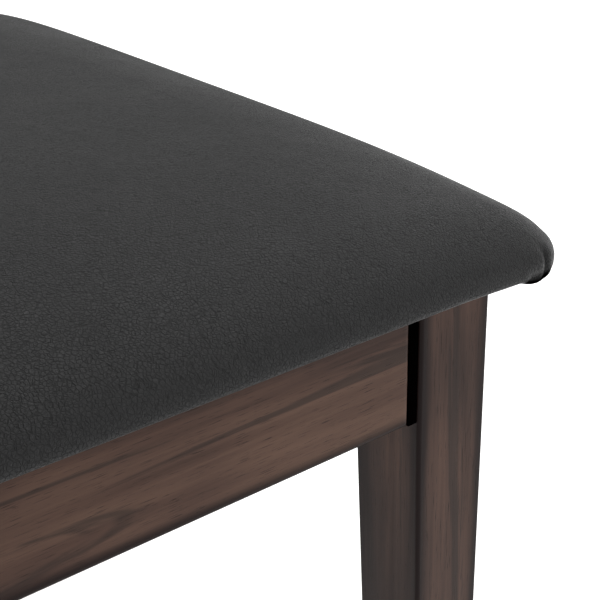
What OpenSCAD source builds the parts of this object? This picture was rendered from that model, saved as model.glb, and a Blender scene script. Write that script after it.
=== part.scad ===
// Piano bench: leather-covered seat lid hinged over a music compartment.
// X runs along the bench, Y across it (the player sits at -Y), Z is up,
// and the origin is on the floor under the middle of the seat.

/* [Overall size] */
// Length of the padded seat
seat_length = 570; // [520:5:620]
// Depth of the padded seat, front to back
seat_depth = 362; // [340:1:380]
// Height of the middle of the seat above the floor
seat_height = 490; // [470:1:520]
// How far the seat reaches out past the legs
seat_overhang = 29; // [28:0.5:32]

/* [Padded seat] */
// Radius of the seat's corners, seen from above
seat_corner = 33; // [30:1:36]
// Height of the round shoulder all along the seat's edge
edge_rise = 19.2; // [18:0.2:21]
// Width of the round shoulder
edge_reach = 38; // [34:1:42]
// Rise of the padding from the shoulder to the middle
crown_rise = 26; // [22:0.5:28]
// How square the crown is: a high number keeps the middle flat and the sides steep
crown_power = 4.5; // [3.5:0.1:5.5]
// Height of the widest line above the leather's lower edge
under_rise = 1.9; // [1.5:0.1:2.5]
// How far the underside's edge lies in from the widest line
under_inset = 6.5; // [5:0.5:7]
// Thickness of the leather
leather_thick = 1.2; // [1:0.1:1.6]
// Width of the leather folded under the board
turn_in = 24; // [20:1:28]
// Thickness of the seat board
board_thick = 12; // [10:1:15]

/* [Legs and rails] */
// Width of each leg at the rails, along the bench
leg_x = 45.5; // [44:0.5:47]
// Width of each leg at the rails, across the bench
leg_y = 43; // [41:0.5:45]
// How far each of a leg's two inner faces tapers in by the foot
leg_taper = 6.7; // [4:0.1:9]
// Radius of the legs' upright edges
leg_round = 2; // [1.5:0.5:3]
// Height of the four rails
rail_height = 67.5; // [62:0.5:76]
// Thickness of the rails
rail_thick = 18; // [16:1:20]
// How far the rails stand back from the legs' outer faces
rail_setback = 1; // [0.5:0.5:2]
// Width of the black strip between a rail and a leg
reveal_width = 5.3; // [4:0.1:7]
// How far the black strip stands back from the rail's face
reveal_depth = 0.6; // [0.4:0.1:2]
// Radius of the rails' outer edges
rail_round = 3; // [2:0.5:4]

/* [Compartment] */
// Gap between the rails' top edges and the closed lid
lid_gap = 2.4; // [2:0.1:3]
// Thickness of the compartment's floor panel
floor_thick = 5; // [4:1:6]
// Width of the cleats under the floor panel
cleat_width = 12; // [10:1:14]
// Height of the cleats
cleat_height = 9; // [7:1:10]

/* [Hardware] */
// Distance of each hinge from the middle of the bench
hinge_place = 160; // [140:5:160]
// Width of each butt hinge
hinge_width = 60; // [50:2:70]
// Height of a hinge leaf, from the barrel's middle
hinge_leaf = 22; // [20:1:24]
// Radius of the hinge barrels
barrel_radius = 3; // [2.8:0.1:3.2]
// Radius of the wooden dowels
dowel_radius = 4; // [3:0.5:4]
// Length of the wooden dowels
dowel_length = 44; // [40:2:46]
// Radius of the hanger bolts
bolt_radius = 4; // [3:0.5:4]
// Height of the nylon glides under the feet
glide_height = 4; // [3:0.5:5]
// Spacing of the staples along the leather's turned-in edge
staple_pitch = 32; // [28:2:40]

/* [Hidden] */

fit = 0.05;            // radial clearance round dowels, pins, bolts and screws
slip = 0.3;            // clearance between pieces that only lie side by side
hair = 0.05;           // hairline gap between faces that are glued or screwed together
arc_steps = 8;         // straight steps in a quarter of a rounded edge
round_fn = 48;
dust_thick = 0.6;
slab = 0.2;            // thickness of the slabs that the padding's form is hulled from
leather = "#17171a";
wood = "#4a2c20";
ply = "#b58f63";
steel = "#9a9a9c";
black = "#0d0d0e";

frame_length = seat_length - 2 * seat_overhang;   // outside the legs
frame_depth = seat_depth - 2 * seat_overhang;
pad_thick = under_rise + edge_rise + crown_rise;
lip_z = seat_height - pad_thick;                  // lowest line of the leather
lid_face = lip_z - dust_thick;
rail_top = lid_face - lid_gap;
rail_bottom = rail_top - rail_height;
board_z = lip_z + leather_thick;

inner_face = rail_setback + rail_thick;           // rail's inner face, in from the legs' outer faces
long_rail = frame_length - 2 * (leg_x + reveal_width);
short_rail = frame_depth - 2 * (leg_y + reveal_width);
strip_thick = rail_thick - reveal_depth;

taper_top = rail_bottom - 6;                      // the legs are straight above this height
foot_x = leg_x - leg_taper;
foot_y = leg_y - leg_taper;
leg_chamfer = 10;                                 // flat on the leg's inner corner, for the hanger bolt
leg_reach = leg_x + leg_y - leg_chamfer;          // X plus Y, in from the outer corner to that flat
block_near = leg_reach - inner_face + 1.5;
block_far = block_near + 28.5;
block_height = 42;
floor_z = rail_bottom + cleat_height;
block_z = floor_z + floor_thick + 1;
bolt_z = block_z + block_height / 2;
bolt_in = 22;                                     // hanger bolt's inner end, along the diagonal
block_face = (inner_face + hair + block_far) / sqrt(2) + hair;   // washer's seat, along the diagonal
washer_thick = 1.6;
nut_thick = 6.5;
dowel_heights = [rail_bottom + 14, rail_bottom + 54];

pin_y = frame_depth / 2 - rail_setback + barrel_radius;
pin_z = lid_face - barrel_radius;
pin_radius = 1.5;
knuckle_radius = barrel_radius - slip;            // keeps the barrel clear of the rail and the lid
leaf_thick = 1.5;
knuckle = hinge_width / 3;
knuckle_gap = 0.4;
leaf_screw_x = [-hinge_width / 2 + 9, 0, hinge_width / 2 - 9];
leaf_screw_in = 14;                               // screw row, from the barrel's middle
leaf_screw_long = 12;
head_deep = 1.3;                                  // depth of a countersunk head

corners = [[-1, -1], [1, -1], [-1, 1], [1, 1]];

// Points of a quarter circle about [x, y], from start degrees
function quarter(x, y, r, start) =
    [for (i = [0 : arc_steps]) let (a = start + 90 * i / arc_steps) [x + r * cos(a), y + r * sin(a)]];

// Rectangle from [0, 0] to [w, h] with a radius for each corner, anticlockwise from the lower left
module rounded_rect(w, h, r) {
    polygon(concat(
        quarter(r[0], r[0], r[0], 180), quarter(w - r[1], r[1], r[1], 270),
        quarter(w - r[2], h - r[2], r[2], 0), quarter(r[3], h - r[3], r[3], 90)));
}

module centred_rect(w, h, r) translate([-w / 2, -h / 2]) rounded_rect(w, h, [r, r, r, r]);

// Turns a child made for the corner at +X +Y, with its origin on the frame's outside corner,
// into the piece for the corner with the signs of c
module at_corner(c) mirror([c.x < 0 ? 1 : 0, 0, 0]) mirror([0, c.y < 0 ? 1 : 0, 0])
    translate([frame_length / 2, frame_depth / 2, 0]) children();

// Countersunk wood screw, head face at z = 0 and point at z = -length
module wood_screw(r, length, head, grow = 0) {
    translate([0, 0, -head_deep]) cylinder(h = head_deep, r1 = r + grow, r2 = head + grow, $fn = 24);
    translate([0, 0, -length - grow]) cylinder(h = length + grow - head_deep, r = r + grow, $fn = 24);
}

// ---- padded seat ----

// Height of the leather above the lip at the middle of a long side, this far in from the seat's outline
function pad_height(inset) = under_rise
    + edge_rise * sqrt(1 - pow(1 - min(inset, edge_reach) / edge_reach, 2))
    + crown_rise * (1 - pow(1 - 2 * inset / seat_depth, crown_power));

// Each level is [inset from the seat's outline, height above the lip]
under_levels = [for (a = [-90 : 30 : -30]) [under_inset * (1 - cos(a)), under_rise * (1 + sin(a))]];
top_levels = [for (inset = [0, 0.6, 2, 4.5, 8, 13, 19, 27, 38, 52, 70, 95, 150]) [inset, pad_height(inset)]];

module pad_form(skin) hull() for (level = concat(under_levels, top_levels)) {
    inset = level[0] + skin;
    translate([0, 0, skin + level[1] * (pad_thick - 2 * skin - slab) / pad_thick]) linear_extrude(slab)
        centred_rect(seat_length - 2 * inset, seat_depth - 2 * inset, max(seat_corner - inset, 5));
}

board_inset = under_inset + leather_thick + slip;
board_length = seat_length - 2 * board_inset;
board_depth = seat_depth - 2 * board_inset;
board_corner = seat_corner - board_inset;

module seat_cover() color(leather) translate([0, 0, lip_z]) difference() {
    pad_form(0);
    pad_form(leather_thick);
    translate([0, 0, -1]) linear_extrude(4)
        centred_rect(board_length - 2 * turn_in, board_depth - 2 * turn_in, 4);
}

module seat_foam() color("#d8d2b8") translate([0, 0, lip_z]) intersection() {
    pad_form(leather_thick + slip);
    translate([-seat_length, -seat_depth, leather_thick + board_thick + slip])
        cube([2 * seat_length, 2 * seat_depth, pad_thick]);
}

module seat_board() color(ply) difference() {
    translate([0, 0, board_z + hair]) linear_extrude(board_thick)
        centred_rect(board_length, board_depth, board_corner);
    hinge_lid_screw_set(fit);
}

module dust_cover() color(black) difference() {
    translate([0, 0, lid_face]) linear_extrude(dust_thick)
        centred_rect(board_length - turn_in, board_depth - turn_in, 10);
    hinge_lid_screw_set(fit);
}

staple_line = turn_in / 2 - 5;                    // in from the board's edge
staples_x = floor((board_length - 60) / staple_pitch);
staples_y = floor((board_depth - 60) / staple_pitch);

module staple() {
    translate([-5, -0.35, -0.6]) cube([10, 0.7, 0.6]);
    for (x = [-5, 4.3]) translate([x, -0.35, -0.1]) cube([0.7, 0.7, 6]);
}

module cover_staples() color(steel) translate([0, 0, lip_z]) {
    for (s = [-1, 1]) {
        for (i = [0 : staples_x])
            translate([(i - staples_x / 2) * staple_pitch, s * (board_depth / 2 - staple_line), 0]) staple();
        for (i = [0 : staples_y])
            translate([s * (board_length / 2 - staple_line), (i - staples_y / 2) * staple_pitch, 0])
                rotate(90) staple();
    }
}

// ---- hinges ----

module at_hinges() for (s = [-1, 1]) translate([s * hinge_place, pin_y, pin_z]) children();

module along_x(from, to, r) translate([from, 0, 0]) rotate([0, 90, 0])
    cylinder(h = to - from, r = r, $fn = 32);

module pin_bore() along_x(-hinge_width, hinge_width, pin_radius + fit);

module upper_leaf() difference() {
    union() {
        translate([-hinge_width / 2, -hinge_leaf, barrel_radius - leaf_thick])
            cube([hinge_width, hinge_leaf - barrel_radius - knuckle_gap, leaf_thick]);
        translate([-knuckle / 2 + knuckle_gap / 2, -hinge_leaf / 2, barrel_radius - leaf_thick])
            cube([knuckle - knuckle_gap, hinge_leaf / 2, leaf_thick]);
        along_x(-knuckle / 2 + knuckle_gap / 2, knuckle / 2 - knuckle_gap / 2, knuckle_radius);
    }
    pin_bore();
}

module lower_leaf() difference() {
    union() {
        translate([-hinge_width / 2, -barrel_radius, -hinge_leaf])
            cube([hinge_width, leaf_thick, hinge_leaf - barrel_radius - knuckle_gap]);
        for (s = [0, 1]) mirror([s, 0, 0]) {
            translate([knuckle / 2 + knuckle_gap / 2, -barrel_radius, -hinge_leaf / 2])
                cube([knuckle - knuckle_gap / 2, leaf_thick, hinge_leaf / 2]);
            along_x(knuckle / 2 + knuckle_gap / 2, hinge_width / 2, knuckle_radius);
        }
    }
    pin_bore();
}

// Screws of the upper leaves point up into the board, those of the lower leaves into the back rail
module hinge_lid_screw_set(grow = 0) at_hinges() for (x = leaf_screw_x)
    translate([x, -leaf_screw_in, barrel_radius - leaf_thick]) rotate([180, 0, 0])
        wood_screw(1.6, leaf_screw_long, 2.9, grow);

module hinge_rail_screw_set(grow = 0) at_hinges() for (x = leaf_screw_x)
    translate([x, -barrel_radius + leaf_thick, -leaf_screw_in]) rotate([-90, 0, 0])
        wood_screw(1.6, leaf_screw_long, 2.9, grow);

module hinge_upper_leaves() color(steel) difference() {
    at_hinges() upper_leaf();
    hinge_lid_screw_set(fit);
}

module hinge_lower_leaves() color(steel) difference() {
    at_hinges() lower_leaf();
    hinge_rail_screw_set(fit);
}

module hinge_pins() color(steel) at_hinges() {
    along_x(-hinge_width / 2 - 0.1, hinge_width / 2 + 0.1, pin_radius);
    for (s = [0, 1]) mirror([s, 0, 0])
        translate([hinge_width / 2 + 0.1, 0, 0]) rotate([0, 90, 0])
            cylinder(h = 1, r1 = 2.2, r2 = 1.4, $fn = 32);
}

module hinge_lid_screws() color(steel) hinge_lid_screw_set();
module hinge_rail_screws() color(steel) hinge_rail_screw_set();

module lid_bumpers() color(black) for (c = corners) at_corner(c)
    translate([-leg_x / 2, -leg_y / 2, rail_top])
        cylinder(h = lid_gap - slip, r1 = 6, r2 = 5, $fn = round_fn);

// ---- legs ----

module leg_section(x, y) translate([-x / 2, -y / 2]) centred_rect(x, y, leg_round);

// Dowels of both rail ends at a corner: one pair runs along X, the other along Y
module corner_dowels(grow = 0) for (z = dowel_heights) for (turned = [0, 1])
    mirror([turned, -turned, 0])
        translate([-(turned ? leg_y : leg_x) - reveal_width / 2, -rail_setback - rail_thick / 2, z])
            rotate([0, 90, 0])
                cylinder(h = dowel_length + 2 * grow, r = dowel_radius + grow, center = true, $fn = 32);

// Children are turned so that their z runs inward along the corner's diagonal
module on_diagonal() translate([0, 0, bolt_z]) rotate([0, 90, -135]) children();

module hanger_bolt(grow = 0) on_diagonal() {
    translate([0, 0, bolt_in]) cylinder(h = 4, r1 = 1, r2 = bolt_radius + grow, $fn = 32);
    translate([0, 0, bolt_in + 4])
        cylinder(h = block_face - bolt_in + washer_thick + nut_thick, r = bolt_radius + grow, $fn = 32);
}

module leg(c) color(wood) at_corner(c) difference() {
    union() {
        translate([0, 0, taper_top]) linear_extrude(rail_top - taper_top) leg_section(leg_x, leg_y);
        hull() {
            translate([0, 0, taper_top - 0.1]) linear_extrude(0.1) leg_section(leg_x, leg_y);
            translate([0, 0, taper_top - 24]) linear_extrude(0.1) leg_section(leg_x - 0.3, leg_y - 0.3);
            translate([0, 0, glide_height + 1.5]) linear_extrude(0.1) leg_section(foot_x, foot_y);
            translate([-0.8, -0.8, glide_height]) linear_extrude(0.1)
                leg_section(foot_x - 1.6, foot_y - 1.6);
        }
    }
    leg_flat();
    corner_dowels(fit);
    hanger_bolt(fit);
    glide_nail(fit);
}

// Cuts the flat on the leg's inner corner, over the height of the rails
module leg_flat() translate([0, 0, rail_bottom + rail_height / 2]) rotate(45)
    translate([-leg_reach / sqrt(2) - 20, 0, 0]) cube([40, 40, rail_height + 1], center = true);

module leg_front_left() leg(corners[0]);
module leg_front_right() leg(corners[1]);
module leg_back_left() leg(corners[2]);
module leg_back_right() leg(corners[3]);

// ---- rails ----

// A rail along X with its outer face at y = 0, its inner face at y = -rail_thick and its foot at z = 0
module rail_blank(length) intersection() {
    translate([-length / 2, 0, 0]) rotate([90, 0, 90]) linear_extrude(length)
        translate([-rail_thick, 0]) rounded_rect(rail_thick, rail_height, [1, rail_round, 1, 1]);
    translate([-length / 2, -rail_thick, -1]) linear_extrude(rail_height + 2)
        rounded_rect(length, rail_thick, [0.5, 0.5, rail_round, rail_round]);
}

module all_dowels(grow = 0) for (c = corners) at_corner(c) corner_dowels(grow);

module long_rail_at(side) color(wood) difference() {
    rotate(side > 0 ? 0 : 180)
        translate([0, frame_depth / 2 - rail_setback, rail_bottom]) rail_blank(long_rail);
    all_dowels(fit);
    block_screw_set(fit);
    hinge_rail_screw_set(fit);
    cleat_screw_set(fit);
}

module short_rail_at(side) color(wood) difference() {
    rotate(-90 * side) translate([0, frame_length / 2 - rail_setback, rail_bottom]) rail_blank(short_rail);
    all_dowels(fit);
    block_screw_set(fit);
    cleat_screw_set(fit);
}

module front_rail() long_rail_at(-1);
module back_rail() long_rail_at(1);
module left_rail() short_rail_at(-1);
module right_rail() short_rail_at(1);

module reveal_strips() color(black) difference() {
    for (c = corners) at_corner(c) for (turned = [0, 1]) mirror([turned, -turned, 0])
        translate([-(turned ? leg_y : leg_x) - reveal_width + hair, -rail_setback - rail_thick, rail_bottom])
            linear_extrude(rail_height)
                rounded_rect(reveal_width - 2 * hair, strip_thick, [0.3, 0.3, 0.3, 0.3]);
    all_dowels(fit);
}

module rail_dowels() color("#c9a878") all_dowels();

// ---- corner blocks and hanger bolts ----

module block_screw(grow = 0) {
    cylinder(h = 22, r = 2 + grow, $fn = 24);
    translate([0, 0, 22]) cylinder(h = 2.4, r = 3.8 + grow, $fn = 24);
}

// Two screws from the block into each rail
module corner_block_screw_pair(grow = 0) for (z = [block_z + 9, block_z + block_height - 9])
    for (turned = [0, 1]) mirror([turned, -turned, 0])
        translate([-(block_near + block_far) / 2, -inner_face + 12, z]) rotate([90, 0, 0]) block_screw(grow);

module block_screw_set(grow = 0) for (c = corners) at_corner(c) corner_block_screw_pair(grow);

// Clears the way for the screw heads through the block's free face
module corner_block_sinks() for (z = [block_z + 9, block_z + block_height - 9])
    for (turned = [0, 1]) mirror([turned, -turned, 0])
        translate([-(block_near + block_far) / 2, -inner_face - 10, z]) rotate([90, 0, 0])
            cylinder(h = 40, r = 3.8 + fit, $fn = 24);

module corner_block(c) color(wood) at_corner(c) difference() {
    translate([0, 0, block_z]) linear_extrude(block_height) polygon([
        [-inner_face - hair, -block_near], [-inner_face - hair, -block_far],
        [-block_far, -inner_face - hair], [-block_near, -inner_face - hair]]);
    corner_block_screw_pair(fit);
    corner_block_sinks();
    hanger_bolt(fit);
}

module corner_block_front_left() corner_block(corners[0]);
module corner_block_front_right() corner_block(corners[1]);
module corner_block_back_left() corner_block(corners[2]);
module corner_block_back_right() corner_block(corners[3]);
module corner_block_screws() color(steel) block_screw_set();

module hanger_bolts() color(steel) for (c = corners) at_corner(c) hanger_bolt();

module hanger_washers() color(steel) for (c = corners) at_corner(c) on_diagonal()
    translate([0, 0, block_face]) difference() {
        cylinder(h = washer_thick, r = 9, $fn = round_fn);
        translate([0, 0, -1]) cylinder(h = washer_thick + 2, r = bolt_radius + 0.3, $fn = 32);
    }

module hanger_nuts() color(steel) for (c = corners) at_corner(c) on_diagonal()
    translate([0, 0, block_face + washer_thick]) difference() {
        cylinder(h = nut_thick, r = 7.5, $fn = 6);
        translate([0, 0, -1]) cylinder(h = nut_thick + 2, r = bolt_radius + fit, $fn = 32);
    }

// ---- compartment floor ----

module floor_panel() color(ply) translate([0, 0, floor_z]) linear_extrude(floor_thick) difference() {
    square([frame_length - 2 * inner_face - 1, frame_depth - 2 * inner_face - 1], center = true);
    for (c = corners) translate([c.x * frame_length / 2, c.y * frame_depth / 2])
        square([2 * leg_x + 2, 2 * leg_y + 2], center = true);
}

module cleat(length) translate([-length / 2, -cleat_width, 0])
    cube([length, cleat_width, cleat_height]);

module cleat_screw(grow = 0) rotate([90, 0, 0]) {
    translate([0, 0, -9]) cylinder(h = cleat_width + 9 - 2, r = 1.5 + grow, $fn = 24);
    translate([0, 0, cleat_width - 2 - 0.01]) cylinder(h = 2.01, r1 = 1.5 + grow, r2 = 3 + grow, $fn = 24);
}

long_cleat = frame_length - 2 * (leg_x + 2);
short_cleat = frame_depth - 2 * (leg_y + 2);

module cleat_screw_set(grow = 0) {
    for (side = [0, 180]) rotate(side) for (x = [-150, -50, 50, 150])
        translate([x, frame_depth / 2 - inner_face, rail_bottom + cleat_height / 2]) cleat_screw(grow);
    for (side = [90, -90]) rotate(side) for (x = [-70, 70])
        translate([x, frame_length / 2 - inner_face, rail_bottom + cleat_height / 2]) cleat_screw(grow);
}

module long_cleat_at(side) color(wood) difference() {
    rotate(side > 0 ? 0 : 180)
        translate([0, frame_depth / 2 - inner_face - hair, rail_bottom]) cleat(long_cleat);
    cleat_screw_set(fit);
}

module short_cleat_at(side) color(wood) difference() {
    rotate(-90 * side) translate([0, frame_length / 2 - inner_face - hair, rail_bottom]) cleat(short_cleat);
    cleat_screw_set(fit);
}

module front_cleat() long_cleat_at(-1);
module back_cleat() long_cleat_at(1);
module left_cleat() short_cleat_at(-1);
module right_cleat() short_cleat_at(1);
module cleat_screws() color(steel) cleat_screw_set();

// ---- feet ----

module glide_nail(grow = 0) translate([-foot_x / 2, -foot_y / 2, 1.5])
    cylinder(h = 20, r = 1.25 + grow, $fn = 24);

module foot_glides() color("#2a2622") difference() {
    for (c = corners) at_corner(c) translate([-foot_x / 2, -foot_y / 2, 0]) {
        cylinder(h = 1.5, r1 = 9.5, r2 = 11, $fn = round_fn);
        translate([0, 0, 1.5]) cylinder(h = glide_height - 1.5, r = 11, $fn = round_fn);
    }
    for (c = corners) at_corner(c) glide_nail(fit);
}

module glide_nails() color(steel) for (c = corners) at_corner(c) glide_nail();

seat_cover();
seat_foam();
seat_board();
dust_cover();
cover_staples();
hinge_upper_leaves();
hinge_lower_leaves();
hinge_pins();
hinge_lid_screws();
hinge_rail_screws();
lid_bumpers();
leg_front_left();
leg_front_right();
leg_back_left();
leg_back_right();
front_rail();
back_rail();
left_rail();
right_rail();
reveal_strips();
rail_dowels();
corner_block_front_left();
corner_block_front_right();
corner_block_back_left();
corner_block_back_right();
corner_block_screws();
hanger_bolts();
hanger_washers();
hanger_nuts();
floor_panel();
front_cleat();
back_cleat();
left_cleat();
right_cleat();
cleat_screws();
foot_glides();
glide_nails();
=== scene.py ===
import bmesh
import bpy
import math
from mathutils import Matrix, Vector, noise


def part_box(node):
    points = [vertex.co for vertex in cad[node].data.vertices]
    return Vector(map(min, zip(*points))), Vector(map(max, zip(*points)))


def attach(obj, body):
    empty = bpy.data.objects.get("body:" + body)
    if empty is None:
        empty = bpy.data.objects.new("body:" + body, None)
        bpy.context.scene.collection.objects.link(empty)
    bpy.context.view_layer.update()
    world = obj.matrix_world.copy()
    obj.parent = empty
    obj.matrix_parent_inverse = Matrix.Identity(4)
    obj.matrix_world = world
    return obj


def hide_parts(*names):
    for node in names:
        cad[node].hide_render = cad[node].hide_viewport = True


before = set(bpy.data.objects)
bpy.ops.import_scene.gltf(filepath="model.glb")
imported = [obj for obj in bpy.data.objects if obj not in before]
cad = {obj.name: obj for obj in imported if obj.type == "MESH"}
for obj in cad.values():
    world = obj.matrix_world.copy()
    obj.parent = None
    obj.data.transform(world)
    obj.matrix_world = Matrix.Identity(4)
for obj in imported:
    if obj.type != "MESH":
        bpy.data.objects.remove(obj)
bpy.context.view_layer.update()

mm = 0.001


class Shade:  # a shader socket that Python arithmetic works on
    def __init__(self, tree, socket=None):
        self.tree = tree
        self.socket = socket

    def node(self, kind, settings=None, sockets=None, out=0):
        made = self.tree.nodes.new(kind)
        for name, value in (settings or {}).items():
            if name == "stops":
                ramp = made.color_ramp.elements
                while len(ramp) < len(value):
                    ramp.new(0.5)
                for stop, (place, colour) in zip(ramp, value):
                    stop.position = place
                    stop.color = (*colour, 1)
            else:
                setattr(made, name, value)
        for key, value in (sockets or {}).items():
            if isinstance(value, Shade):
                self.tree.links.new(value.socket, made.inputs[key])
            else:
                made.inputs[key].default_value = value
        return Shade(self.tree, made.outputs[out])

    def maths(self, operation, *values):
        return self.node("ShaderNodeMath", {"operation": operation}, dict(enumerate(values)))

    def __add__(self, other):
        return self.maths("ADD", self, other)

    def __sub__(self, other):
        return self.maths("SUBTRACT", self, other)

    def __rsub__(self, other):
        return self.maths("SUBTRACT", other, self)

    def __mul__(self, other):
        return self.maths("MULTIPLY", self, other)

    __radd__ = __add__
    __rmul__ = __mul__

    def smaller(self, other):
        return self.maths("MINIMUM", self, other)

    def larger(self, other):
        return self.maths("MAXIMUM", self, other)

    def between(self, low, high, atLow=0.0, atHigh=1.0):  # eased from one level to another
        return self.node("ShaderNodeMapRange", {"interpolation_type": "SMOOTHSTEP"},
                         {"Value": self, "From Min": low, "From Max": high,
                          "To Min": atLow, "To Max": atHigh})

    def blendColour(self, first, second):  # this value picks between two colours
        first, second = (c if isinstance(c, Shade) else (*c, 1) for c in (first, second))
        return self.node("ShaderNodeMix", {"data_type": "RGBA"}, {0: self, 6: first, 7: second}, out=2)

    def ramp(self, stops):
        return self.node("ShaderNodeValToRGB", {"stops": stops}, {0: self})

    def shifted(self, offset):  # a vector moved by another
        return self.node("ShaderNodeVectorMath", {"operation": "ADD"}, {0: self, 1: offset})

    def stretched(self, factors):
        return self.node("ShaderNodeVectorMath", {"operation": "MULTIPLY"}, {0: self, 1: factors})

    def splitUp(self):
        first = self.node("ShaderNodeSeparateXYZ", {}, {0: self})
        return [Shade(self.tree, output) for output in first.socket.node.outputs]

    def noise(self, scale, detail=2.0, roughness=0.5, distortion=0.0, out=0):
        return self.node("ShaderNodeTexNoise", {}, {"Vector": self, "Scale": scale, "Detail": detail,
                                                    "Roughness": roughness, "Distortion": distortion}, out)

    def grained(self, scales, detail, roughness=0.5, distortion=0.0):  # noise drawn out along x
        along, across = scales
        return self.stretched((along, across, across)).noise(1, detail, roughness, distortion)

    def cells(self, scale, feature="DISTANCE_TO_EDGE", randomness=1.0):
        return self.node("ShaderNodeTexVoronoi", {"feature": feature},
                         {"Vector": self, "Scale": scale, "Randomness": randomness})

    def bumped(self, strength, distance):
        return self.node("ShaderNodeBump", {}, {"Strength": strength, "Distance": distance, "Height": self})


def startMaterial(name, **values):
    material = bpy.data.materials.new(name)
    material.use_nodes = True
    tree = material.node_tree
    shader = tree.nodes["Principled BSDF"]
    for key, value in values.items():
        shader.inputs[key.replace("_", " ")].default_value = value
    place = Shade(tree).node("ShaderNodeTexCoord", out=3)  # Object coordinates
    return material, shader, place


def feed(shader, **links):
    for key, value in links.items():
        value.tree.links.new(value.socket, shader.inputs[key.replace("_", " ")])


def finish(piece, material):
    piece.data.materials.clear()
    piece.data.materials.append(material)


def newPiece(name, mesh, material, body):
    data = bpy.data.meshes.new(name)
    mesh.to_mesh(data)
    mesh.free()
    data.shade_smooth()
    piece = bpy.data.objects.new(name, data)
    bpy.context.scene.collection.objects.link(piece)
    finish(piece, material)
    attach(piece, body)
    return piece


# materials: scales are per metre, and a pair of them is along and across the grain

# the last colour is painted shade, near-black, for the corner folds and the pleat grooves
leather = dict(dark=(0.0028, 0.0028, 0.003), light=(0.0125, 0.0125, 0.013), roughness=0.44, specular=0.32,
               pebbles=640, fine=1500, mottling=14, creases=75, sway=170, swayBy=1.6 * mm, creaseDepth=1 * mm,
               shadeBlack=(0.0004, 0.0004, 0.0004, 1))


def makeLeather(s=leather):
    material, shader, place = startMaterial("pebbledLeather", Specular_IOR_Level=s["specular"])
    sway = place.noise(s["sway"], 3, out=1).stretched((s["swayBy"],) * 3)
    bent = place.shifted(sway)
    pebbles = bent.cells(s["pebbles"]).between(0.0, 0.14)
    fine = bent.cells(s["fine"]).between(0.0, 0.2)
    mottled = place.noise(s["mottling"], 5, 0.62)
    creases = place.noise(s["creases"], 3, 0.55, 0.6)
    height = pebbles * 0.62 + fine * 0.2 + creases * 0.5
    # partly painted shade: the colour is darker in the creases between pebbles; the mottling is the leather's
    # own tone
    tone = (pebbles * 0.5 + mottled * 0.7).between(0.2, 1.0)
    feed(shader, Base_Color=tone.blendColour(s["dark"], s["light"]),
         Roughness=s["roughness"] + (1 - pebbles) * 0.12 + mottled.between(0.3, 0.7, -0.05, 0.06),
         Normal=height.bumped(1.0, s["creaseDepth"]))
    fold = place.node("ShaderNodeAttribute", {"attribute_name": "fold"}, out=2)  # painted shade: where this attribute is one, a matt near-black surface stands in for the shade under the corner folds and in the pleat grooves
    shadeBlack = place.node("ShaderNodeBsdfPrincipled", {},
                        {"Base Color": s["shadeBlack"], "Roughness": 1, "Specular IOR Level": 0})
    lit = Shade(place.tree, shader.outputs[0])
    mixed = place.node("ShaderNodeMixShader", {}, {0: fold, 1: lit, 2: shadeBlack})
    place.tree.links.new(mixed.socket, place.tree.nodes["Material Output"].inputs["Surface"])
    return material


stain = dict(stops=((0.0, (0.0045, 0.0022, 0.0016)), (0.30, (0.0153, 0.0078, 0.0064)),
                    (0.50, (0.034, 0.0182, 0.0138)), (0.72, (0.069, 0.0372, 0.027)),
                    (1.0, (0.12, 0.068, 0.047))),
             # the edge colour is painted shade for the rounded long edges
             sooty=(0.012, 0.009, 0.008), pore=(0.006, 0.0026, 0.002), edge=(0.005, 0.001, 0.0008),
             edgeShadeFrom=2.2 * mm, edgeShadeTo=9 * mm, edgeShadeWander=4 * mm, roughness=0.42, specular=0.1,
             poreDepth=0.12 * mm, tone=0.53, bands=(2.0, 17), streaks=(3.4, 80), threads=(16, 620),
             clouds=(5, 9), veins=(2.6, 52), pores=(90, 2600))


def makeStain(name, axis, seed, s=stain):  # grain runs along the axis, and the long edges are darkened as painted shade on their roundings
    material, shader, place = startMaterial(f"walnutStain_{name}", Specular_IOR_Level=s["specular"])
    parts = place.splitUp()
    order = {"x": (0, 1, 2), "y": (1, 2, 0), "z": (2, 0, 1)}[axis]
    grain = place.node("ShaderNodeCombineXYZ", {}, {i: parts[k] for i, k in enumerate(order)})
    grain = grain.shifted((seed * 1.37, seed * 0.71, 0))
    bands = grain.grained(s["bands"], 3, 0.5, 0.7)
    streaks = grain.grained(s["streaks"], 4, 0.55, 0.9)
    threads = grain.grained(s["threads"], 3, 0.6, 0.2)
    clouds = grain.grained(s["clouds"], 2, 0.5, 0.4)
    tone = (bands - 0.5) * 1.7 + (streaks - 0.5) * 0.6 + (threads - 0.5) * 0.22
    tone = tone + (clouds - 0.5) * 0.9 + s["tone"]
    veins = grain.grained(s["veins"], 4, 0.6, 1.6).between(0.58, 0.67)
    pores = grain.grained(s["pores"], 2).between(0.60, 0.68)
    low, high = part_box(name)
    gaps = [(parts[i] - low[i]).smaller(high[i] - parts[i]) for i in order[1:]]
    wander = (streaks - 0.5) * s["edgeShadeWander"]
    # painted shade: the colour darkens within a few mm of each long edge, where the rounding turns from the
    # light
    edge = 1 - (gaps[0].larger(gaps[1]) + wander).between(s["edgeShadeFrom"], s["edgeShadeTo"])
    colour = (veins * 0.6).blendColour(tone.ramp(s["stops"]), s["sooty"])
    colour = (edge * 0.95).blendColour(colour, s["edge"])
    feed(shader, Base_Color=(pores * 0.7).blendColour(colour, s["pore"]),
         Roughness=s["roughness"] + streaks.between(0.3, 0.7, 0.05, -0.04) + pores * 0.1,
         Normal=(threads * 0.5 - pores * 0.8).bumped(0.35, s["poreDepth"]))
    return material


ply = dict(dark=(0.27, 0.155, 0.075), light=(0.52, 0.36, 0.21), fibres=(9, 260), waves=(2.2, 14), rings=20,
           veneer=3.2 * mm, depth=0.2 * mm, rough=0.66, smooth=0.56)


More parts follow.
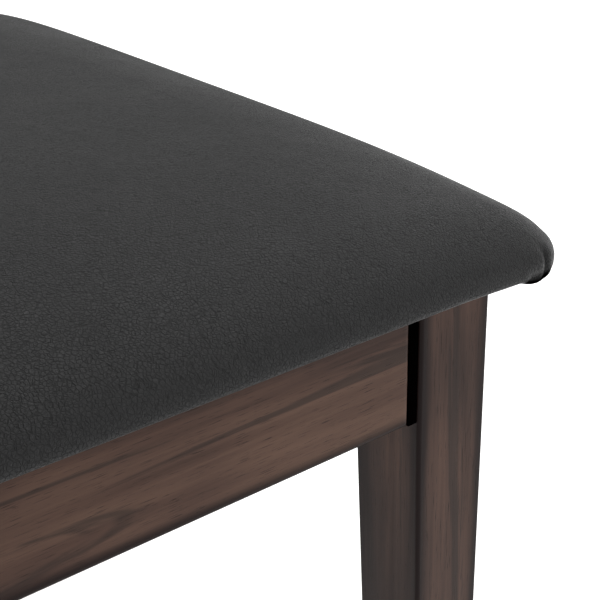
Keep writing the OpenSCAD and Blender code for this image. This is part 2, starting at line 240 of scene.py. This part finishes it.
def makePly(s=ply):
    material, shader, place = startMaterial("plywood")
    x, y, z = place.splitUp()
    fibres = place.grained(s["fibres"], 5, 0.6, 0.4)
    figure = (place.grained(s["waves"], 3, 0.5, 0.8) * 13 + y * s["rings"]).maths("SINE")
    layers = (z * (2 * math.pi / s["veneer"])).maths("SINE").between(-0.3, 0.3)
    tone = fibres * 0.7 + figure * 0.09 + layers * 0.12
    feed(shader, Base_Color=tone.between(0.15, 0.75).blendColour(s["dark"], s["light"]),
         Roughness=fibres.between(0.3, 0.7, s["rough"], s["smooth"]), Normal=fibres.bumped(0.3, s["depth"]))
    return material


foam = dict(dark=(0.40, 0.33, 0.19), light=(0.74, 0.66, 0.46), bubbles=900, depth=0.6 * mm, roughness=0.95)


def makeFoam(s=foam):
    material, shader, place = startMaterial("openFoam", Roughness=s["roughness"])
    bubbles = place.cells(s["bubbles"], "F1").between(0.05, 0.5)
    # painted shade: the colour darkens towards each bubble's middle, where the pore is open and in shade
    feed(shader, Base_Color=bubbles.blendColour(s["dark"], s["light"]),
         Normal=bubbles.bumped(0.6, s["depth"]))
    return material


nonwoven = dict(dark=(0.008, 0.008, 0.009), light=(0.035, 0.035, 0.037), fibres=1500, dimples=420,
                depth=0.3 * mm, roughness=0.92)


def makeCloth(s=nonwoven):
    material, shader, place = startMaterial("nonwovenCloth", Roughness=s["roughness"])
    fibres = place.noise(s["fibres"], 4, 0.7, 1.2)
    dimples = place.cells(s["dimples"], "F1", 0.2).between(0.15, 0.4)
    # partly painted shade: the colour is a little darker in the dimples; the fibre mottling is the cloth's
    # own tone
    tone = (fibres * 0.8 + dimples * 0.2).between(0.3, 0.8)
    feed(shader, Base_Color=tone.blendColour(s["dark"], s["light"]),
         Normal=(fibres * 0.6 + dimples * 0.4).bumped(0.5, s["depth"]))
    return material


plain = dict(
    # painted shade: the reveal strips are black spacers, and their near-zero colour with no reflection stands
    # in for the shade of the deep gap at each rail end
    blackSpacerGapShade=dict(dark=(0.0003, 0.0002, 0.0002), light=(0.0008, 0.0006, 0.0006), scale=900, roughness=0.9,
                      depth=0.05 * mm, specular=0.0),
    blockWood=dict(dark=(0.10, 0.048, 0.026), light=(0.19, 0.10, 0.056), scale=1, roughness=0.6,
                   depth=0.2 * mm, stretch=(70, 70, 420)),
    dowelWood=dict(dark=(0.36, 0.23, 0.12), light=(0.62, 0.45, 0.27), scale=160, roughness=0.6,
                   depth=0.2 * mm),
    zincSteel=dict(dark=(0.42, 0.42, 0.4), light=(0.66, 0.66, 0.63), scale=240, roughness=0.36,
                   depth=0.04 * mm, metallic=1.0),
    antiqueBrassPlate=dict(dark=(0.13, 0.08, 0.035), light=(0.36, 0.25, 0.12), scale=180, roughness=0.38,
                           depth=0.04 * mm, metallic=1.0),
    bumperRubber=dict(dark=(0.008, 0.008, 0.008), light=(0.022, 0.022, 0.022), scale=700, roughness=0.75),
    glideNylon=dict(dark=(0.03, 0.026, 0.022), light=(0.055, 0.048, 0.042), scale=500, roughness=0.5))


def makePlain(name, dark, light, scale, roughness, depth=0.1 * mm, metallic=0.0, stretch=(1, 1, 1),
              specular=0.5):
    material, shader, place = startMaterial(name, Metallic=metallic, Specular_IOR_Level=specular)
    pattern = place.stretched(stretch).noise(scale, 4, 0.6)
    rub = place.noise(45, 3, 0.6)
    feed(shader, Base_Color=(pattern * 0.7 + rub * 0.3).between(0.3, 0.7).blendColour(dark, light),
         Roughness=rub.between(0.3, 0.7, roughness - 0.06, roughness + 0.08),
         Normal=pattern.bumped(0.3, depth))
    return material


finishes = {name: makePlain(name, **values) for name, values in plain.items()}
finishes.update(leather=makeLeather(), plywood=makePly(), openFoam=makeFoam(), dustCloth=makeCloth())
print("materials made")

# the frame's own nodes keep their shape and take these finishes

madeOf = dict(
    plywood=("seat_board", "floor_panel"),
    blockWood=("corner_block_front_left", "corner_block_front_right", "corner_block_back_left",
               "corner_block_back_right", "front_cleat", "back_cleat", "left_cleat", "right_cleat"),
    zincSteel=("hanger_bolts", "hanger_washers", "hanger_nuts", "corner_block_screws", "cleat_screws",
               "glide_nails", "cover_staples"),
    antiqueBrassPlate=("hinge_upper_leaves", "hinge_lower_leaves", "hinge_pins", "hinge_lid_screws",
                       "hinge_rail_screws"),
    # the reveal strips take the black spacer finish with its painted gap shade
    blackSpacerGapShade=("reveal_strips",), dowelWood=("rail_dowels",), bumperRubber=("lid_bumpers",),
    glideNylon=("foot_glides",), openFoam=("seat_foam",), dustCloth=("dust_cover",))
for name, nodes in madeOf.items():
    for node in nodes:
        finish(cad[node], finishes[name])

grainAxis = {"front_rail": "x", "back_rail": "x", "left_rail": "y", "right_rail": "y"}  # a leg's runs upright
for seed, name in enumerate(sorted(n for n in cad if n.startswith("leg_") or n.endswith("_rail"))):
    finish(cad[name], makeStain(name, grainAxis.get(name, "z"), seed + 1))
print("frame finished")

# seat: each rise is above the pad's lower edge

pad = dict(corner=33 * mm, shoulderRise=19.2 * mm, shoulderReach=38 * mm, crown=26 * mm, crownAlong=5.0,
           crownAcross=4.5, underRise=1.9 * mm, underInset=6.5 * mm, lift=0.02 * mm, rimRound=20 * mm,
           flatRise=0.4 * mm, voxel=5 * mm, start=3 * mm, most=3 * mm, heldRise=11 * mm, freeRise=14 * mm,
           pressure=4.0, mass=0.25, stretchStiff=18, shearStiff=8, bendStiff=4, frames=20, keep=0.12,
           keepMost=0.5 * mm, turnIn=24 * mm, spare=0.4 * mm, under=0.03 * mm, pocketCorner=25 * mm,
           windowCorner=4 * mm, windowDeep=5 * mm)


def padInset(x, y, half, s):  # distance in from the seat's outline
    a = abs(x) - (half.x - s["corner"])
    b = abs(y) - (half.y - s["corner"])
    return s["corner"] - math.hypot(max(a, 0), max(b, 0)) - min(max(a, b), 0)


def padLevel(p, half, base, s):  # negative inside the pad, zero on its skin
    inset = padInset(p.x, p.y, half, s)
    wide = base + s["underRise"]
    if p.z < wide:
        drop = (wide - p.z) / s["underRise"]
        return s["underRise"] * (math.hypot(max(1 - inset / s["underInset"], 0), drop) - 1)
    crown = s["crown"]
    crown *= 1 - min(abs(p.x) / half.x, 1) ** s["crownAlong"]
    crown *= 1 - min(abs(p.y) / half.y, 1) ** s["crownAcross"]
    rise = max((p.z - wide - crown) / s["shoulderRise"], 0)
    return s["shoulderRise"] * (math.hypot(max(1 - inset / s["shoulderReach"], 0), rise) - 1)


def ontoPad(p, half, base, s):  # slides a point down the level's slope until it is on the skin
    step, furthest, flattest = 0.1 * mm, 4 * mm, 0.05
    nudges = [Vector([step * (i == k) for k in range(3)]) for i in range(3)]
    for _ in range(7):
        level = padLevel(p, half, base, s)
        slope = Vector([(padLevel(p + nudge, half, base, s) - level) / step for nudge in nudges])
        if slope.length < flattest:
            break
        move = slope * (-level / slope.length_squared)
        p = p + move * min(1, furthest / max(move.length, 1e-9))
    return p


def applied(piece):  # bakes the piece's modifiers into its mesh
    now = bpy.context.evaluated_depsgraph_get()
    shaped = piece.evaluated_get(now)
    baked = bpy.data.meshes.new_from_object(shaped, preserve_all_data_layers=True, depsgraph=now)
    piece.modifiers.clear()
    old, piece.data = piece.data, baked
    bpy.data.meshes.remove(old)


def looseBlock(low, high, corner):  # a plain block with rounded upright edges
    mesh = bmesh.new()
    bmesh.ops.create_cube(mesh, size=1)
    bmesh.ops.scale(mesh, vec=high - low, verts=mesh.verts)
    bmesh.ops.translate(mesh, vec=(low + high) / 2, verts=mesh.verts)
    upright = [e for e in mesh.edges if abs(e.verts[0].co.z - e.verts[1].co.z) > 1e-6]
    bmesh.ops.bevel(mesh, geom=upright, offset=corner, segments=8, profile=0.5, affect="EDGES", material=-1)
    return mesh


def cutAway(piece, cutters):
    for mesh in cutters:
        data = bpy.data.meshes.new("cutter")
        mesh.to_mesh(data)
        mesh.free()
        cutter = bpy.data.objects.new("cutter", data)
        bpy.context.scene.collection.objects.link(cutter)
        cut = piece.modifiers.new("cut", "BOOLEAN")
        cut.operation, cut.solver, cut.object = "DIFFERENCE", "EXACT", cutter
        applied(piece)
        bpy.data.objects.remove(cutter)
        bpy.data.meshes.remove(data)


def swell(piece, isHeld, s):  # inflates the skin, and caps how far each point moves
    before = [v.co.copy() for v in piece.data.vertices]
    held = piece.vertex_groups.new(name="held")
    held.add([i for i, p in enumerate(before) if isHeld(p)], 1, "REPLACE")
    cloth = piece.modifiers.new("cloth", "CLOTH")
    settings = cloth.settings
    settings.quality = 4
    settings.mass = s["mass"]
    settings.tension_stiffness = settings.compression_stiffness = s["stretchStiff"]
    settings.shear_stiffness = s["shearStiff"]
    settings.bending_stiffness = s["bendStiff"]
    settings.use_pressure = True
    settings.uniform_pressure_force = s["pressure"]
    settings.vertex_group_mass = "held"
    settings.effector_weights.gravity = 0
    cloth.collision_settings.use_collision = False
    cloth.point_cache.frame_start, cloth.point_cache.frame_end = 1, s["frames"]
    scene = bpy.context.scene
    for step in range(1, s["frames"] + 1):
        scene.frame_set(step)
    now = bpy.context.evaluated_depsgraph_get()
    after = [v.co.copy() for v in piece.evaluated_get(now).data.vertices]
    scene.frame_set(1)
    piece.modifiers.clear()
    piece.vertex_groups.clear()
    furthest = 0
    for vertex, p, q in zip(piece.data.vertices, before, after):
        move = q - p
        furthest = max(furthest, move.length)
        vertex.co = p + move * min(1, s["most"] / max(move.length, 1e-9))
    print("pad swelled by at most", round(furthest / mm, 2), "mm before the cap")


def eased(value, low, high):
    t = min(max((value - low) / (high - low), 0), 1)
    return t * t * (3 - 2 * t)


# a groove is its degrees round the corner, then its depth, width and height in mm; a pair is where a change
# starts and ends, as a height above the pad's lower edge or a distance from the corner's middle
pleats = dict(grooves=((22, 1.7, 2.6, 15), (68, 1.7, 2.6, 15), (31, 0.5, 1.5, 9), (59, 0.5, 1.5, 9)),
              shadow=0.35, groovesRise=(0.8 * mm, 3 * mm), outer=(18 * mm, 27 * mm), onEnd=(3 * mm, 9 * mm),
              droop=4.2 * mm, droopReach=(13 * mm, 25 * mm), droopRise=(1.2 * mm, 3.8 * mm),
              droopSide=(-8 * mm, 8 * mm), spread=-0.3 * mm,
              bulge=1.2 * mm, bulgeFrom=(0.5 * mm, 3.5 * mm), bulgeTo=(6 * mm, 14 * mm),
              sag=1.2 * mm, sagSide=(-45 * mm, 0), sagRise=(2 * mm, 9 * mm),
              # painted shade: the next pair and its rise set where the underside of the droop is painted
              # black; shadow sets how dark the grooves are painted
              black=(0.04, 0.22), blackRise=(2.2 * mm, 3.5 * mm),
              fineInset=20 * mm, fineRise=24 * mm, pocketInset=7 * mm, pocketRise=(0.5 * mm, 20 * mm))


def grooved(reach, turn, height, t):  # how far the pleats pull in at a point, and how much painted shade goes in the grooves
    inward, grooveShade = 0.0, 0.0
    for degrees, deep, wide, tall in t["grooves"]:
        arc = reach * (turn - math.radians(degrees)) / (wide * mm)
        fade = 1 - eased(height, 0.3 * tall * mm, tall * mm)
        inward += deep * mm * fade * (math.exp(-arc * arc) - 0.12 * math.exp(-(abs(arc) - 1.9) ** 2 * 2))
        grooveShade = max(grooveShade, t["shadow"] * deep * fade * math.exp(-arc * arc * 2))
    return inward * eased(height, *t["groovesRise"]), grooveShade


def gatherCorners(piece, half, base, s, t=pleats):  # pleats round each corner and a droop hanging under it, with painted shade marked under the droop and in the grooves
    data = piece.data
    mesh = bmesh.new()
    mesh.from_mesh(data)
    middle = Vector((half.x - s["corner"], half.y - s["corner"]))

    def inCorner(p):
        return abs(p.x) > middle.x and abs(p.y) > middle.y + t["droopSide"][0] \
            and p.z < base + t["fineRise"] and padInset(p.x, p.y, half, s) < t["fineInset"]

    fine = [e for e in mesh.edges if inCorner(e.verts[0].co) and inCorner(e.verts[1].co)]
    bmesh.ops.subdivide_edges(mesh, edges=fine, cuts=1, use_grid_fill=True)
    fold = mesh.verts.layers.float.new("fold")
    for vertex in mesh.verts:
        p = vertex.co
        a, b = abs(p.x) - middle.x, abs(p.y) - middle.y
        inset = padInset(p.x, p.y, half, s)
        height = p.z - base
        inPocket = inset > t["pocketInset"] and t["pocketRise"][0] < height < t["pocketRise"][1]
        if a <= 0 or b <= t["sagSide"][0] or inPocket:
            continue
        reach = s["corner"] - inset
        away = Vector((a, max(b, 0), 0)).normalized()
        inward, grooveShade = grooved(reach, math.atan2(away.y, away.x), height, t)
        outer, onEnd = eased(reach, *t["outer"]), eased(a, *t["onEnd"])
        along = eased(b, *t["droopSide"]) * onEnd
        hang = (1 - eased(height, *t["droopRise"])) * along * eased(reach, *t["droopReach"])
        full = 2 * away.x * away.y * eased(height, *t["bulgeFrom"]) * (1 - eased(height, *t["bulgeTo"]))
        out = (t["spread"] * hang + t["bulge"] * full - inward) * outer
        shift = Vector((math.copysign(away.x, p.x), math.copysign(away.y, p.y), 0)) * out
        sag = t["sag"] * (1 - eased(height, *t["sagRise"])) * eased(b, *t["sagSide"]) * onEnd
        shift.z = -t["droop"] * hang - sag
        # painted shade: the underside of the droop is marked black and the grooves dark, for the leather's
        # shade mix
        black = eased(hang, *t["black"]) * (1 - eased(height, *t["blackRise"]))
        vertex[fold] = max(black, grooveShade) * outer
        vertex.co = p + shift
    mesh.to_mesh(data)
    mesh.free()


def flattenUnder(piece, base, s):  # the skin is flat where it turns in under the board
    for vertex in piece.data.vertices:
        if vertex.co.z < base + s["flatRise"]:
            vertex.co.z = base


def makeSeat(s=pad):
    low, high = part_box("seat_cover")
    half = (high - low) / 2
    base = low.z + s["lift"]
    mesh = looseBlock(Vector((low.x, low.y, base)), Vector((high.x, high.y, high.z)), s["corner"])
    rim = [e for e in mesh.edges if abs(e.verts[0].co.z - high.z) + abs(e.verts[1].co.z - high.z) < 1e-6]
    bmesh.ops.bevel(mesh, geom=rim, offset=s["rimRound"], segments=5, profile=0.5, affect="EDGES",
                    material=-1)
    piece = newPiece("seat_pad", mesh, finishes["leather"], "lid")
    remesh = piece.modifiers.new("remesh", "REMESH")
    remesh.mode, remesh.voxel_size = "VOXEL", s["voxel"]
    applied(piece)
    start = s["start"]  # the skin starts lower and swells
    for vertex in piece.data.vertices:
        p = ontoPad(vertex.co.copy(), half, base, s)
        p.z -= start * min(max((p.z - base - s["heldRise"]) / s["freeRise"], 0), 1)
        vertex.co = p
    flattenUnder(piece, base, s)
    swell(piece, lambda p: p.z < base + s["heldRise"], s)
    for vertex in piece.data.vertices:  # the foam's form holds, and the skin keeps a little of its pull
        if vertex.co.z > base + s["heldRise"]:
            fitted = ontoPad(vertex.co.copy(), half, base, s)
            off = vertex.co - fitted
            vertex.co = fitted + off * min(s["keep"], s["keepMost"] / max(off.length, 1e-9))
    subdivide = piece.modifiers.new("finer", "SUBSURF")
    subdivide.levels = subdivide.render_levels = 1
    applied(piece)
    flattenUnder(piece, base, s)
    boardLow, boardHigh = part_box("seat_board")
    spare = Vector((s["spare"],) * 3)
    pocketLow, pocketHigh = boardLow - spare, boardHigh + spare
    pocketLow.z = boardLow.z - s["under"]
    inward = Vector((s["turnIn"], s["turnIn"], 0))
    windowLow, windowHigh = boardLow + inward, boardHigh - inward
    windowLow.z -= s["windowDeep"]
    cutAway(piece, [looseBlock(pocketLow, pocketHigh, s["pocketCorner"]),
                    looseBlock(windowLow, windowHigh, s["windowCorner"])])
    gatherCorners(piece, half, base, s)
    piece.data.shade_smooth()
    finish(piece, finishes["leather"])
    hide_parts("seat_cover", "seat_foam")


makeSeat()
print("seat made")

# dust cloth: stretched over the board's underside, a little slack in the middle

dust = dict(sag=1.3 * mm, wrinkle=0.35 * mm, thick=0.5 * mm, skin=0.02 * mm, cell=5 * mm, tight=45 * mm,
            easing=60 * mm, hole=2 * mm, holeDeep=20 * mm, screwApart=6 * mm)


def screwColumns(s=dust):  # the lid screws' places along the bench
    places = sorted(v.co.x for v in cad["hinge_lid_screws"].data.vertices)
    columns = [[places[0]]]
    for x in places[1:]:
        if x - columns[-1][-1] > s["screwApart"]:
            columns.append([])
        columns[-1].append(x)
    return [(column[0] + column[-1]) / 2 for column in columns]


def makeDustCloth(s=dust):
    low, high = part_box("dust_cover")
    size = high - low
    mesh = bmesh.new()
    bmesh.ops.create_grid(mesh, x_segments=round(size.x / s["cell"]), y_segments=round(size.y / s["cell"]),
                          size=0.5)
    bmesh.ops.scale(mesh, vec=(size.x, size.y, 1), verts=mesh.verts)
    for vertex in mesh.verts:
        p = vertex.co
        edge = min(size.x / 2 - abs(p.x), size.y / 2 - abs(p.y))
        slack = min(max((edge - s["tight"]) / s["easing"], 0), 1) ** 2
        folds = noise.noise(Vector((p.x * 9, p.y * 14, 4.2)))
        vertex.co.z = high.z - s["thick"] - slack * (s["sag"] + s["wrinkle"] * folds)
    skirt = bmesh.ops.extrude_face_region(mesh, geom=mesh.faces[:])
    top = [v for v in skirt["geom"] if isinstance(v, bmesh.types.BMVert)]
    bmesh.ops.translate(mesh, vec=(0, 0, s["thick"] - s["skin"]), verts=top)
    bmesh.ops.recalc_face_normals(mesh, faces=mesh.faces)
    piece = newPiece("dust_cloth", mesh, finishes["dustCloth"], "lid")
    screwLow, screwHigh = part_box("hinge_lid_screws")
    holes = []
    for x in screwColumns():
        hole = bmesh.new()
        bmesh.ops.create_cone(hole, cap_ends=True, segments=20, radius1=s["hole"], radius2=s["hole"],
                              depth=s["holeDeep"])
        bmesh.ops.translate(hole, vec=(x, (screwLow.y + screwHigh.y) / 2, low.z), verts=hole.verts)
        holes.append(hole)
    cutAway(piece, holes)
    finish(piece, finishes["dustCloth"])
    piece.data.shade_flat()
    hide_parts("dust_cover")


makeDustCloth()
print("dust cloth made")

# stage

camera = dict(fromLeg=(0.3632, -0.3897), fromRail=0.2985, forward=(-0.6939, 0.5879, -0.4158), lens=76.1,
              shiftX=-0.090, shiftY=-0.023, nearest=0.05, furthest=50)
softboxes = dict(overheadSoftbox=dict(place=(-0.6, 0.8, 3.2), target=(-0.6, 0.8, 0), size=6, power=162),
                 sideSoftbox=dict(place=(1.5, 1.3, 0.75), target=(0.2, 0.1, 0.45), size=1.1, power=4),
                 backSoftbox=dict(place=(-0.8, 2.6, 1.4), target=(0, 0, 0.45), size=1.6, power=10))
studio = dict(half=12, cells=8, dark=(0.86, 0.86, 0.86), light=(0.9, 0.9, 0.9), patches=3, roughness=0.9,
              glow=0.55, ambient=0.42)


def aimed(name, data, place, forward):  # a camera or light that looks forward from its place
    holder = bpy.data.objects.new(name, data)
    bpy.context.scene.collection.objects.link(holder)
    holder.location = place
    holder.rotation_mode = "QUATERNION"
    holder.rotation_quaternion = forward.to_track_quat("-Z", "Y")
    return holder


def makeCamera(s=camera):
    data = bpy.data.cameras.new("camera")
    data.lens = s["lens"]
    data.sensor_width = 36
    data.shift_x = s["shiftX"]
    data.shift_y = s["shiftY"]
    data.clip_start, data.clip_end = s["nearest"], s["furthest"]
    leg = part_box("leg_back_right")[1]
    place = (leg.x + s["fromLeg"][0], leg.y + s["fromLeg"][1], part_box("right_rail")[0].z + s["fromRail"])
    bpy.context.scene.camera = aimed("camera", data, place, Vector(s["forward"]))


def makeLight(name, place, target, size, power):
    data = bpy.data.lights.new(name, "AREA")
    data.size = size
    data.energy = power
    aimed(name, data, place, Vector(target) - Vector(place))


def makeFloor(s=studio):
    mesh = bmesh.new()
    bmesh.ops.create_grid(mesh, x_segments=s["cells"], y_segments=s["cells"], size=s["half"])
    data = bpy.data.meshes.new("floor")
    mesh.to_mesh(data)
    mesh.free()
    material, shader, place = startMaterial("paleFloor", Roughness=s["roughness"],
                                            Emission_Strength=s["glow"], Emission_Color=(1, 1, 1, 1))
    patches = place.noise(s["patches"], 2).between(0.3, 0.7)
    feed(shader, Base_Color=patches.blendColour(s["dark"], s["light"]))
    floor = bpy.data.objects.new("floor", data)
    bpy.context.scene.collection.objects.link(floor)
    finish(floor, material)


def makeWorld(s=studio):
    world = bpy.data.worlds.new("studio")
    world.use_nodes = True
    sky = world.node_tree.nodes["Background"].inputs
    sky["Color"].default_value = (1, 1, 1, 1)
    sky["Strength"].default_value = s["ambient"]
    bpy.context.scene.world = world


makeCamera()
makeFloor()
makeWorld()
for name, values in softboxes.items():
    makeLight(name, **values)
bpy.context.scene.view_settings.view_transform = "Standard"
print("stage made")
